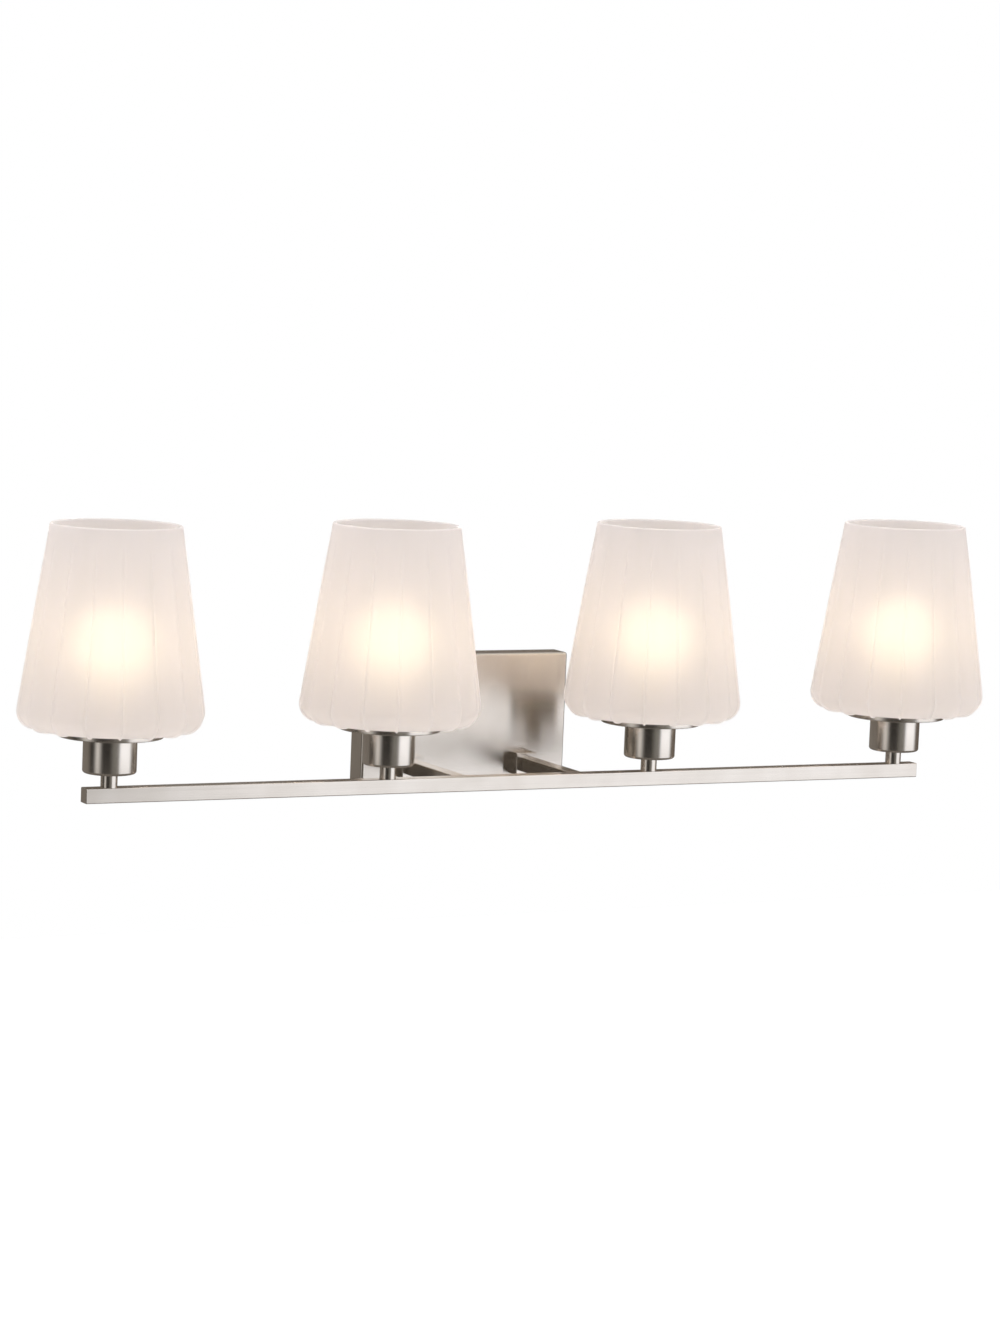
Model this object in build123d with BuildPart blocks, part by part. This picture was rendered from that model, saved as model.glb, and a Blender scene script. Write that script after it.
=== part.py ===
"""A wall-mounted vanity light bar with four up-facing frosted glass shades.

Millimetres. The origin is the middle of the backplate's wall face. +X runs along the bar, -Y points
into the room and +Z is up. Each light stands on the bar: stud, socket cup, glass holder, shade.
"""
from build123d import *
import math
import os

# ---- driving dimensions ----------------------------------------------------------------------
# backplate, a shallow pan with its open side on the wall
PLATE_WIDTH = 182.0
PLATE_HEIGHT = 110.0
PLATE_DEPTH = 20.5
PLATE_BEND_R = 2.2  # outside its bends and corners
SHEET = 1.2

# bar and its two arms, all one square tube section
TUBE = 11.5
TUBE_WALL = 1.2
TUBE_EDGE = 0.7
BAR_LENGTH = 730.0
BAR_TOP = -28.5
LIGHT_Y = -121.0
ARM_X = 51.0
CAP_THICKNESS = 1.5
CAP_PLUG_LENGTH = 6.0
CAP_EDGE = 0.5
COLLAR_SIZE = 18.1
COLLAR_DEPTH = 12.2
COLLAR_EDGE = 0.5
ARM_PLUG_LENGTH = 10.0
BAR_WIRE_HOLE_R = 4.0

# lights: heights are counted from the bar's top face
LIGHT_SPACING = 230.0
LIGHT_XS = [LIGHT_SPACING * (i - 1.5) for i in range(4)]
STUD_R = 6.35
CUP_BOTTOM = 10.8
CUP_R = 20.3
CUP_WALL = 1.1
CUP_EDGE = 2.2
HOLDER_BOTTOM = 38.5
HOLDER_TOP = 42.4
HOLDER_R = 39.7
HOLDER_EDGE = 0.5

# glass shade
GLASS = 3.0
SHADE_TOP = 197.3
SHADE_TOP_R = 49.25
SHADE_TAPER = 0.145  # radius gained for each unit of height lost
SHADE_HOLE_R = 21.0
SHADE_FLAT_R = 41.0  # the part of the base that lies flat on the holder
SHADE_CORNER_R = 13.2
SHADE_RIM_R = 1.2
SHADE_BASE_RISE = 0.11  # the base climbs this much per unit of radius outside the flat
RIB_COUNT = 16
RIB_WIDTH = 2.6
RIB_HEIGHT = 1.5
RIB_FADE_TOP = 180.0
RIB_END_R = 47.0  # where a rib ends under the base
RIB_TURNS = [8.2, 2.5, 11.0, -6.3]  # each shade was screwed down at its own angle

# lampholder, medium screw base
THREAD_R = 18.9
THREAD_BOTTOM = 30.0
HOLDER_BODY_R = 16.0
HOLDER_BODY_BOTTOM = 18.0
WEB_BOTTOM = 23.0
WEB_TOP = 26.0
WIRING_CAVITY_R = 11.0
LAMPHOLDER_TOP = 54.5
SHELL_OUTER_R = 14.1
SHELL_WALL = 0.7
SHELL_TOP = 53.0
SHELL_FLOOR = 0.6
SHELL_FLOOR_HOLE_R = 7.0
LAMPHOLDER_CAP_BOTTOM = 15.0
CONTACT_THICKNESS = 1.5
CONTACT_WIDTH = 6.0
CONTACT_LENGTH = 8.0
CONTACT_CORNER_R = 1.0
CONTACT_Y = -1.0
TERMINAL_THICKNESS = 1.2
TERMINAL_WIDTH = 4.0
LIVE_TERMINAL = (-3.6, -0.4)  # front and back edges
NEUTRAL_TERMINAL = (0.4, 10.4)
RIVET_R = 1.2
LIVE_RIVET_Y = -1.9
NEUTRAL_RIVET_Y = 9.0

# ring that clamps the shade and the glass holder down on the cup
RING_BORE_R = 19.2
RING_FLANGE_R = 27.0
RING_FLANGE = 2.0
RING_COLLAR_R = 23.5
RING_NOTCH_CENTRE_R = 23.9
RING_HEIGHT = 7.6
RING_NOTCHES = 12
RING_NOTCH_R = 1.4

# A19 lamp
BASE_R = 13.05
BASE_THREAD_DEPTH = 0.6
BASE_PITCH = 3.6
BASE_TURNS = 5
BASE_THREAD_BOTTOM = 34.0
TIP_R = 4.8
TIP_HEIGHT = 1.0
TIP_EDGE = 0.6
INSULATOR_INSET = 4.0
INSULATOR_RISE = 1.2
SHELL_FOOT_INSET = 1.0
SHELL_FOOT_RISE = 4.0
BASE_FLARE = 1.2
BASE_TOP = 54.0
BULB_R = 30.0
BULB_CENTRE = 106.0
BULB_NECK_R = 13.5
BULB_WALL = 1.0
BULB_JOIN_ANGLE = -22.0  # where the globe turns into the neck, from level
BULB_NECK_TANGENT = (0.15, 1)

# hollow threaded nipples and their nuts
NIPPLE_CLEARANCE = 0.05
LIGHT_NIPPLE_R = 4.85
LIGHT_NIPPLE_BORE_R = 3.25
LIGHT_NIPPLE_BOTTOM = 2.0
LIGHT_NIPPLE_TOP = 19.0
LIGHT_NUT_FLATS = 14.0
ARM_NIPPLE_R = 4.0
ARM_NIPPLE_BORE_R = 3.1
ARM_NUT_FLATS = 12.0
ARM_NUT = 2.5
ARM_WASHER = 0.8
ARM_WASHER_R = 7.0
WASHER_TEETH = 12
TOOTH_GAP_DEPTH = 0.8
TOOTH_GAP_WIDTH = 1.2
ARM_NIPPLE_FRONT = -29.5
ARM_NIPPLE_BACK = -15.4

# crossbar screwed to the junction box; the plate is screwed to its two bent tabs
STRAP_WIDTH = 25.0
STRAP_THICKNESS = 2.0
STRAP_TAB_DEPTH = 16.0
STRAP_GAP = 0.2
BOX_SCREW_SPACING = 88.9
BOX_SLOT_WIDTH = 4.5
BOX_SLOT_LENGTH = 12.0
STRAP_CENTRE_HOLE_R = 5.0
PLATE_SCREW_Y = -10.0
SCREW_R = 1.95
SCREW_CLEARANCE = 0.05
SCREW_HEAD_R = 3.5
SCREW_HEAD = 2.0
SCREW_REACH = 4.2
DRIVE_SLOT_WIDTH = 0.9
DRIVE_SLOT_DEPTH = 0.9
GROUND_SCREW_Z = -10.0
GROUND_HEAD_Y = -4.5
GROUND_HEAD_R = 4.2
GROUND_HEAD = 2.2

# wiring
LEAD_R = 1.0
LEAD_SIDE_STEP = 1.15  # live and neutral lie this far each side of a tube's centre line
LEAD_LEVEL_STEP = 1.2  # outer and inner lights' leads lie this far below and above it
LEAD_BEND = 5.0
GROUND_LEAD_R = 1.0
GROUND_LOOP_R = 3.1
GROUND_LEAD_GAP = 0.2
GROUND_HOOK_RISE = 4.0
GROUND_BEND_Z = 1.0
GROUND_STRAIGHT_Z = 7.0
BEND_ALLOWANCE = 0.02  # keeps neighbouring bends from meeting
CONNECTOR_R = 5.0
CONNECTOR_SIDES = 8
CONNECTOR_TIP_R = 3.4
CONNECTOR_BORE_R = 3.3
CONNECTOR_LENGTH = 20.0
CONNECTOR_BORE_DEPTH = 12.0
CONNECTOR_BOTTOM = -8.0
LEAD_TUCK = 9.0  # how far a lead's end reaches into its connector
BUNDLE_STEP = 1.2
LIVE_CONNECTOR = (-24.0, -11.2)
NEUTRAL_CONNECTOR = (24.0, -6.2)
GROUND_CONNECTOR = (3.1, -9.0)
GROUND_CONNECTOR_BOTTOM = 12.0

# ---- worked-out places -----------------------------------------------------------------------
TUBE_CENTRE_Z = BAR_TOP - TUBE / 2
TUBE_BORE = TUBE - 2 * TUBE_WALL
BAR_BACK_Y = LIGHT_Y + TUBE / 2
PLATE_FRONT_Y = -PLATE_DEPTH
PLATE_INNER_Y = PLATE_FRONT_Y + SHEET
PLATE_INNER_Z = PLATE_HEIGHT / 2 - SHEET
CUP_FLOOR = CUP_BOTTOM + CUP_WALL
SHADE_FLOOR = HOLDER_TOP + GLASS
BULB_TIP = WEB_TOP + CONTACT_THICKNESS

os.makedirs("parts", exist_ok=True)


# ---- shared helpers --------------------------------------------------------------------------
def save(piece, name):
    """Label a finished piece and write it."""
    piece.part.label = name
    export_step(piece.part, f"parts/{name}.step")


def light_origin(light_x, height=0.0):
    """A point on a light's axis, `height` above the bar's top face."""
    return (light_x, LIGHT_Y, BAR_TOP + height)


def light_plane(light_x, turn=0.0):
    """The upright plane through a light's axis: local x runs outwards and local y up."""
    angle = math.radians(turn)
    outwards = (math.cos(angle), math.sin(angle), 0)
    normal = (math.sin(angle), -math.cos(angle), 0)
    return Plane(origin=light_origin(light_x), x_dir=outwards, z_dir=normal)


def light_axis(light_x):
    return Axis(light_origin(light_x), (0, 0, 1))


def level_plane(light_x, height):
    """A level plane on a light's axis."""
    return Plane(origin=light_origin(light_x, height))


def facing_plane(x, y, z):
    """An upright plane that faces the wall: local x is X, local y is -Z."""
    return Plane(origin=(x, y, z), x_dir=(1, 0, 0), z_dir=(0, 1, 0))


# ---- backplate and what is behind it ---------------------------------------------------------
def make_backplate():
    pan_plane = facing_plane(0, PLATE_FRONT_Y, 0)
    with BuildPart() as backplate:
        with BuildSketch(pan_plane):
            Rectangle(PLATE_WIDTH, PLATE_HEIGHT)
        extrude(amount=PLATE_DEPTH)
        fillet(backplate.edges().filter_by(Axis.Y), radius=PLATE_BEND_R)
        front_edges = backplate.faces().sort_by(Axis.Y)[0].edges()
        fillet(front_edges, radius=PLATE_BEND_R)
        offset(amount=-SHEET, openings=backplate.faces().sort_by(Axis.Y)[-1])
        with BuildSketch(facing_plane(0, PLATE_FRONT_Y, TUBE_CENTRE_Z)):
            with Locations((-ARM_X, 0), (ARM_X, 0)):
                Circle(ARM_NIPPLE_R + NIPPLE_CLEARANCE)
        extrude(amount=SHEET, mode=Mode.SUBTRACT)
        with BuildSketch(Plane.XY.offset(-PLATE_HEIGHT / 2)):
            with Locations((0, PLATE_SCREW_Y)):
                Circle(SCREW_R + SCREW_CLEARANCE)
        extrude(amount=PLATE_HEIGHT, mode=Mode.SUBTRACT)
    save(backplate, "backplate")


def make_mounting_strap():
    strap_top = PLATE_INNER_Z - STRAP_GAP
    with BuildPart() as mounting_strap:
        with BuildSketch(Plane.YZ.offset(-STRAP_WIDTH / 2)):
            with BuildLine():
                Polyline(
                    (0, -strap_top),
                    (-STRAP_TAB_DEPTH, -strap_top),
                    (-STRAP_TAB_DEPTH, -strap_top + STRAP_THICKNESS),
                    (-STRAP_THICKNESS, -strap_top + STRAP_THICKNESS),
                    (-STRAP_THICKNESS, strap_top - STRAP_THICKNESS),
                    (-STRAP_TAB_DEPTH, strap_top - STRAP_THICKNESS),
                    (-STRAP_TAB_DEPTH, strap_top),
                    (0, strap_top),
                    close=True,
                )
            make_face()
        extrude(amount=STRAP_WIDTH)
        with BuildSketch(facing_plane(0, -STRAP_THICKNESS, 0)):
            with Locations((0, -BOX_SCREW_SPACING / 2), (0, BOX_SCREW_SPACING / 2)):
                SlotOverall(BOX_SLOT_LENGTH, BOX_SLOT_WIDTH, rotation=90)
            Circle(STRAP_CENTRE_HOLE_R)
            with Locations((0, -GROUND_SCREW_Z)):
                Circle(SCREW_R + SCREW_CLEARANCE)
        extrude(amount=STRAP_THICKNESS, mode=Mode.SUBTRACT)
        with BuildSketch(Plane.XY.offset(-strap_top)):
            with Locations((0, PLATE_SCREW_Y)):
                Circle(SCREW_R + SCREW_CLEARANCE)
        extrude(amount=2 * strap_top, mode=Mode.SUBTRACT)
    save(mounting_strap, "mounting_strap")


def make_plate_screws():
    """One pan-head screw through the plate's top edge and one through its bottom edge."""
    with BuildPart() as plate_screws:
        for side in (-1, 1):
            seat = Plane(origin=(0, PLATE_SCREW_Y, side * PLATE_HEIGHT / 2), z_dir=(0, 0, side))
            with BuildSketch(seat):
                Circle(SCREW_HEAD_R)
            extrude(amount=SCREW_HEAD)
            with BuildSketch(seat):
                Circle(SCREW_R)
            extrude(amount=-SCREW_REACH)
            with BuildSketch(seat.offset(SCREW_HEAD)):
                Rectangle(2 * SCREW_HEAD_R, DRIVE_SLOT_WIDTH)
            extrude(amount=-DRIVE_SLOT_DEPTH, mode=Mode.SUBTRACT)
    save(plate_screws, "plate_screws")


def make_ground_screw():
    with BuildPart() as ground_screw:
        with BuildSketch(facing_plane(0, GROUND_HEAD_Y, GROUND_SCREW_Z)):
            Circle(SCREW_R)
        extrude(amount=-GROUND_HEAD_Y)
        with BuildSketch(facing_plane(0, GROUND_HEAD_Y - GROUND_HEAD, GROUND_SCREW_Z)):
            Circle(GROUND_HEAD_R)
        extrude(amount=GROUND_HEAD)
        with BuildSketch(facing_plane(0, GROUND_HEAD_Y - GROUND_HEAD, GROUND_SCREW_Z)):
            Rectangle(2 * GROUND_HEAD_R, DRIVE_SLOT_WIDTH)
        extrude(amount=DRIVE_SLOT_DEPTH, mode=Mode.SUBTRACT)
    save(ground_screw, "ground_screw")


# ---- bar and arms ----------------------------------------------------------------------------
def make_bar():
    half_tube = BAR_LENGTH / 2 - CAP_THICKNESS
    bar_centre = Plane(origin=(-half_tube, LIGHT_Y, TUBE_CENTRE_Z), x_dir=(0, 1, 0), z_dir=(1, 0, 0))
    with BuildPart() as bar:
        with BuildSketch(bar_centre):
            RectangleRounded(TUBE, TUBE, TUBE_EDGE)
            Rectangle(TUBE_BORE, TUBE_BORE, mode=Mode.SUBTRACT)
        extrude(amount=2 * half_tube)
        with BuildSketch(Plane.XY.offset(BAR_TOP)):
            with Locations(*[(x, LIGHT_Y) for x in LIGHT_XS]):
                Circle(LIGHT_NIPPLE_BORE_R)
        extrude(amount=-TUBE_WALL, mode=Mode.SUBTRACT)
        with BuildSketch(facing_plane(0, BAR_BACK_Y - TUBE_WALL, TUBE_CENTRE_Z)):
            with Locations((-ARM_X, 0), (ARM_X, 0)):
                Circle(BAR_WIRE_HOLE_R)
        extrude(amount=TUBE_WALL, mode=Mode.SUBTRACT)
    save(bar, "bar")


def make_bar_end_cap(side, name):
    """A cap flush with the tube's faces, on a plug pushed into the tube."""
    tube_end = Plane(
        origin=(side * (BAR_LENGTH / 2 - CAP_THICKNESS), LIGHT_Y, TUBE_CENTRE_Z),
        x_dir=(0, 1, 0),
        z_dir=(side, 0, 0),
    )
    with BuildPart() as end_cap:
        with BuildSketch(tube_end):
            RectangleRounded(TUBE, TUBE, TUBE_EDGE)
        extrude(amount=CAP_THICKNESS)
        outer_face = end_cap.faces().sort_by(Axis.X)[-1 if side > 0 else 0]
        fillet(outer_face.edges(), radius=CAP_EDGE)
        with BuildSketch(tube_end):
            Rectangle(TUBE_BORE, TUBE_BORE)
        extrude(amount=-CAP_PLUG_LENGTH)
    save(end_cap, name)


def make_arm(arm_x, name):
    arm_front = facing_plane(arm_x, BAR_BACK_Y, TUBE_CENTRE_Z)
    with BuildPart() as arm:
        with BuildSketch(arm_front):
            RectangleRounded(TUBE, TUBE, TUBE_EDGE)
            Rectangle(TUBE_BORE, TUBE_BORE, mode=Mode.SUBTRACT)
        extrude(amount=PLATE_FRONT_Y - BAR_BACK_Y)
    save(arm, name)


def make_arm_collar(arm_x, name):
    """A square block that hides the joint between an arm and the plate."""
    with BuildPart() as arm_collar:
        with BuildSketch(facing_plane(arm_x, PLATE_FRONT_Y - COLLAR_DEPTH, TUBE_CENTRE_Z)):
            RectangleRounded(COLLAR_SIZE, COLLAR_SIZE, TUBE_EDGE)
        extrude(amount=COLLAR_DEPTH)
        front_edges = arm_collar.faces().sort_by(Axis.Y)[0].edges()
        fillet(front_edges, radius=COLLAR_EDGE)
        with BuildSketch(facing_plane(arm_x, PLATE_FRONT_Y - COLLAR_DEPTH, TUBE_CENTRE_Z)):
            RectangleRounded(TUBE, TUBE, TUBE_EDGE)
        extrude(amount=COLLAR_DEPTH, mode=Mode.SUBTRACT)
    save(arm_collar, name)


def make_arm_plugs():
    """Tapped plugs fixed in the wall ends of the arms."""
    with BuildPart() as arm_plugs:
        for arm_x in (-ARM_X, ARM_X):
            with BuildSketch(facing_plane(arm_x, PLATE_FRONT_Y - ARM_PLUG_LENGTH, TUBE_CENTRE_Z)):
                Rectangle(TUBE_BORE, TUBE_BORE)
                Circle(ARM_NIPPLE_R + NIPPLE_CLEARANCE, mode=Mode.SUBTRACT)
            extrude(amount=ARM_PLUG_LENGTH)
    save(arm_plugs, "arm_plugs")


def make_arm_nipples():
    """Hollow nipples that hold the arms to the plate and let their leads through."""
    with BuildPart() as arm_nipples:
        for arm_x in (-ARM_X, ARM_X):
            with BuildSketch(facing_plane(arm_x, ARM_NIPPLE_FRONT, TUBE_CENTRE_Z)):
                Circle(ARM_NIPPLE_R)
                Circle(ARM_NIPPLE_BORE_R, mode=Mode.SUBTRACT)
            extrude(amount=ARM_NIPPLE_BACK - ARM_NIPPLE_FRONT)
    save(arm_nipples, "arm_nipples")


def make_arm_lock_washers():
    with BuildPart() as arm_lock_washers:
        for arm_x in (-ARM_X, ARM_X):
            with BuildSketch(facing_plane(arm_x, PLATE_INNER_Y, TUBE_CENTRE_Z)):
                Circle(ARM_WASHER_R)
                with PolarLocations(ARM_WASHER_R, WASHER_TEETH):
                    Rectangle(2 * TOOTH_GAP_DEPTH, TOOTH_GAP_WIDTH, mode=Mode.SUBTRACT)
                Circle(ARM_NIPPLE_R + NIPPLE_CLEARANCE, mode=Mode.SUBTRACT)
            extrude(amount=ARM_WASHER)
    save(arm_lock_washers, "arm_lock_washers")


def make_arm_nuts():
    with BuildPart() as arm_nuts:
        for arm_x in (-ARM_X, ARM_X):
            with BuildSketch(facing_plane(arm_x, PLATE_INNER_Y + ARM_WASHER, TUBE_CENTRE_Z)):
                RegularPolygon(ARM_NUT_FLATS / 2, 6, major_radius=False)
                Circle(ARM_NIPPLE_R + NIPPLE_CLEARANCE, mode=Mode.SUBTRACT)
            extrude(amount=ARM_NUT)
    save(arm_nuts, "arm_nuts")


# ---- one light's metal parts -----------------------------------------------------------------
def make_stud(light_x, name):
    """A short round post welded to the bar, tapped from above for the light's nipple."""
    with BuildPart() as stud:
        with BuildSketch(level_plane(light_x, 0)):
            Circle(STUD_R)
            Circle(LIGHT_NIPPLE_BORE_R, mode=Mode.SUBTRACT)
        extrude(amount=CUP_BOTTOM)
        with BuildSketch(level_plane(light_x, LIGHT_NIPPLE_BOTTOM)):
            Circle(LIGHT_NIPPLE_R + NIPPLE_CLEARANCE)
        extrude(amount=CUP_BOTTOM - LIGHT_NIPPLE_BOTTOM, mode=Mode.SUBTRACT)
    save(stud, name)


def make_socket_cup(light_x, name):
    with BuildPart() as socket_cup:
        with BuildSketch(level_plane(light_x, CUP_BOTTOM)):
            Circle(CUP_R)
        extrude(amount=HOLDER_BOTTOM - CUP_BOTTOM)
        bottom_edge = socket_cup.edges().sort_by(Axis.Z)[0]
        fillet(bottom_edge, radius=CUP_EDGE)
        with BuildSketch(level_plane(light_x, CUP_FLOOR)):
            Circle(CUP_R - CUP_WALL)
        extrude(amount=HOLDER_BOTTOM - CUP_FLOOR, mode=Mode.SUBTRACT)
        with BuildSketch(level_plane(light_x, CUP_BOTTOM)):
            Circle(LIGHT_NIPPLE_R + NIPPLE_CLEARANCE)
        extrude(amount=CUP_WALL, mode=Mode.SUBTRACT)
        cup_floor = socket_cup.faces().filter_by(Plane.XY).sort_by(Axis.Z)[1]
        inner_corner = cup_floor.edges().sort_by(SortBy.LENGTH)[-1]
        fillet(inner_corner, radius=CUP_EDGE - CUP_WALL)
    save(socket_cup, name)


def make_glass_holder(light_x, name):
    """The disc that the shade stands on."""
    with BuildPart() as glass_holder:
        with BuildSketch(level_plane(light_x, HOLDER_BOTTOM)):
            Circle(HOLDER_R)
        extrude(amount=HOLDER_TOP - HOLDER_BOTTOM)
        fillet(glass_holder.edges(), radius=HOLDER_EDGE)
        with BuildSketch(level_plane(light_x, HOLDER_BOTTOM)):
            Circle(RING_BORE_R)
        extrude(amount=HOLDER_TOP - HOLDER_BOTTOM, mode=Mode.SUBTRACT)
    save(glass_holder, name)


def make_light_nipples():
    with BuildPart() as light_nipples:
        for light_x in LIGHT_XS:
            with BuildSketch(level_plane(light_x, LIGHT_NIPPLE_BOTTOM)):
                Circle(LIGHT_NIPPLE_R)
                Circle(LIGHT_NIPPLE_BORE_R, mode=Mode.SUBTRACT)
            extrude(amount=LIGHT_NIPPLE_TOP - LIGHT_NIPPLE_BOTTOM)
    save(light_nipples, "light_nipples")


def make_light_nuts():
    """Nuts that pull the socket cups down on their studs."""
    with BuildPart() as light_nuts:
        for light_x in LIGHT_XS:
            with BuildSketch(level_plane(light_x, CUP_FLOOR)):
                RegularPolygon(LIGHT_NUT_FLATS / 2, 6, major_radius=False)
                Circle(LIGHT_NIPPLE_R + NIPPLE_CLEARANCE, mode=Mode.SUBTRACT)
            extrude(amount=LAMPHOLDER_CAP_BOTTOM - CUP_FLOOR)
    save(light_nuts, "light_nuts")


# ---- lampholder ------------------------------------------------------------------------------
def make_lampholder_caps():
    """Tapped metal caps that screw on the nipples and close the lampholders' wiring spaces."""
    with BuildPart() as lampholder_caps:
        for light_x in LIGHT_XS:
            with BuildSketch(level_plane(light_x, LAMPHOLDER_CAP_BOTTOM)):
                Circle(HOLDER_BODY_R)
                Circle(LIGHT_NIPPLE_R + NIPPLE_CLEARANCE, mode=Mode.SUBTRACT)
            extrude(amount=HOLDER_BODY_BOTTOM - LAMPHOLDER_CAP_BOTTOM)
    save(lampholder_caps, "lampholder_caps")


def make_lampholder(light_x, name):
    """The insulating body: a wiring space below the web and the lamp's socket above it."""
    with BuildPart() as lampholder:
        with BuildSketch(light_plane(light_x)):
            with BuildLine():
                Polyline(
                    (0, WEB_BOTTOM),
                    (WIRING_CAVITY_R, WEB_BOTTOM),
                    (WIRING_CAVITY_R, HOLDER_BODY_BOTTOM),
                    (HOLDER_BODY_R, HOLDER_BODY_BOTTOM),
                    (HOLDER_BODY_R, THREAD_BOTTOM),
                    (THREAD_R, THREAD_BOTTOM),
                    (THREAD_R, LAMPHOLDER_TOP),
                    (SHELL_OUTER_R, LAMPHOLDER_TOP),
                    (SHELL_OUTER_R, WEB_TOP),
                    (0, WEB_TOP),
                    close=True,
                )
            make_face()
        revolve(axis=light_axis(light_x))
        with BuildSketch(level_plane(light_x, WEB_BOTTOM)):
            with Locations((0, LIVE_RIVET_Y), (0, NEUTRAL_RIVET_Y)):
                Circle(RIVET_R)
        extrude(amount=WEB_TOP - WEB_BOTTOM, mode=Mode.SUBTRACT)
    save(lampholder, name)


def make_screw_shell(light_x, name):
    """The brass shell that the lamp's cap screws into."""
    with BuildPart() as screw_shell:
        with BuildSketch(level_plane(light_x, WEB_TOP)):
            Circle(SHELL_OUTER_R)
            Circle(SHELL_FLOOR_HOLE_R, mode=Mode.SUBTRACT)
        extrude(amount=SHELL_TOP - WEB_TOP)
        with BuildSketch(level_plane(light_x, WEB_TOP + SHELL_FLOOR)):
            Circle(SHELL_OUTER_R - SHELL_WALL)
        extrude(amount=SHELL_TOP - WEB_TOP - SHELL_FLOOR, mode=Mode.SUBTRACT)
    save(screw_shell, name)


def make_lampholder_contacts():
    """Centre contacts that the lamps' tips press on."""
    with BuildPart() as lampholder_contacts:
        for light_x in LIGHT_XS:
            with BuildSketch(level_plane(light_x, WEB_TOP)):
                with Locations((0, CONTACT_Y)):
                    RectangleRounded(CONTACT_WIDTH, CONTACT_LENGTH, CONTACT_CORNER_R)
            extrude(amount=CONTACT_THICKNESS)
    save(lampholder_contacts, "lampholder_contacts")


def make_lampholder_terminals():
    """Live and neutral terminal plates under each web, each with its rivet up through the web."""
    terminals = ((LIVE_RIVET_Y, LIVE_TERMINAL), (NEUTRAL_RIVET_Y, NEUTRAL_TERMINAL))
    with BuildPart() as lampholder_terminals:
        for light_x in LIGHT_XS:
            for rivet_y, (front_y, back_y) in terminals:
                with BuildSketch(level_plane(light_x, WEB_BOTTOM - TERMINAL_THICKNESS)):
                    with Locations((0, (front_y + back_y) / 2)):
                        Rectangle(TERMINAL_WIDTH, back_y - front_y)
                extrude(amount=TERMINAL_THICKNESS)
                with BuildSketch(level_plane(light_x, WEB_BOTTOM)):
                    with Locations((0, rivet_y)):
                        Circle(RIVET_R)
                extrude(amount=WEB_TOP - WEB_BOTTOM)
    save(lampholder_terminals, "lampholder_terminals")


# ---- pieces that lift off --------------------------------------------------------------------
def make_retaining_ring(light_x, name):
    """The threaded ring, with finger notches round its collar."""
    with BuildPart() as retaining_ring:
        with BuildSketch(level_plane(light_x, SHADE_FLOOR)):
            Circle(RING_FLANGE_R)
        extrude(amount=RING_FLANGE)
        with BuildSketch(level_plane(light_x, SHADE_FLOOR + RING_FLANGE)):
            Circle(RING_COLLAR_R)
            with PolarLocations(RING_NOTCH_CENTRE_R, RING_NOTCHES):
                Circle(RING_NOTCH_R, mode=Mode.SUBTRACT)
        extrude(amount=RING_HEIGHT - RING_FLANGE)
        with BuildSketch(level_plane(light_x, SHADE_FLOOR)):
            Circle(RING_BORE_R)
        extrude(amount=RING_HEIGHT, mode=Mode.SUBTRACT)
    save(retaining_ring, name)


def shade_outline(inset):
    """Base and wall corner points of the glass, `inset` inside its outer surface."""
    slant = math.hypot(1, SHADE_TAPER)
    tilt = math.hypot(1, SHADE_BASE_RISE)
    base_z = HOLDER_TOP + inset
    rise_z = HOLDER_TOP + inset * tilt
    wall_r = SHADE_TOP_R - inset * slant
    # where the rising base line meets the wall line
    corner_r = wall_r + SHADE_TAPER * (SHADE_TOP - rise_z + SHADE_BASE_RISE * SHADE_FLAT_R)
    corner_r /= 1 + SHADE_TAPER * SHADE_BASE_RISE
    corner_z = rise_z + SHADE_BASE_RISE * (corner_r - SHADE_FLAT_R)
    return (SHADE_HOLE_R, base_z), (SHADE_FLAT_R, base_z), (corner_r, corner_z), (wall_r, SHADE_TOP)


def make_shade(light_x, turn, name):
    """Frosted glass, widest near its base, with thin ribs that run down and under its lower edge."""
    outer = shade_outline(0)
    inner = shade_outline(GLASS)
    rib_foot = shade_outline(-RIB_HEIGHT)
    rib_root = shade_outline(GLASS / 2)
    fade_r = SHADE_TOP_R + SHADE_TAPER * (SHADE_TOP - RIB_FADE_TOP)
    rib_end_rise = SHADE_BASE_RISE * (RIB_END_R - SHADE_FLAT_R)
    rib_end = (RIB_END_R, outer[1][1] + rib_end_rise)
    with BuildPart() as shade:
        with BuildSketch(light_plane(light_x)):
            with BuildLine():
                FilletPolyline(*outer, radius=(0, SHADE_CORNER_R))
                Line(outer[3], inner[3])
                FilletPolyline(*reversed(inner), radius=(SHADE_CORNER_R - GLASS, 0))
                Line(inner[0], outer[0])
            make_face()
        revolve(axis=light_axis(light_x))
        fillet(shade.edges().sort_by(Axis.Z)[-2:], radius=SHADE_RIM_R)
        for rib in range(RIB_COUNT):
            # turns are counted from straight ahead, towards +X
            angle = turn - 90 + rib * 360 / RIB_COUNT
            with BuildSketch(light_plane(light_x, angle)):
                with BuildLine():
                    FilletPolyline(
                        rib_end,
                        rib_foot[2],
                        (fade_r, RIB_FADE_TOP),
                        radius=(SHADE_CORNER_R + RIB_HEIGHT,),
                    )
                    FilletPolyline(
                        (fade_r, RIB_FADE_TOP),
                        (fade_r - GLASS / 2, RIB_FADE_TOP),
                        rib_root[2],
                        (RIB_END_R, rib_root[1][1] + rib_end_rise),
                        rib_end,
                        radius=(0, SHADE_CORNER_R - GLASS / 2, 0),
                    )
                make_face()
            extrude(amount=RIB_WIDTH / 2, both=True)
    save(shade, name)


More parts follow.
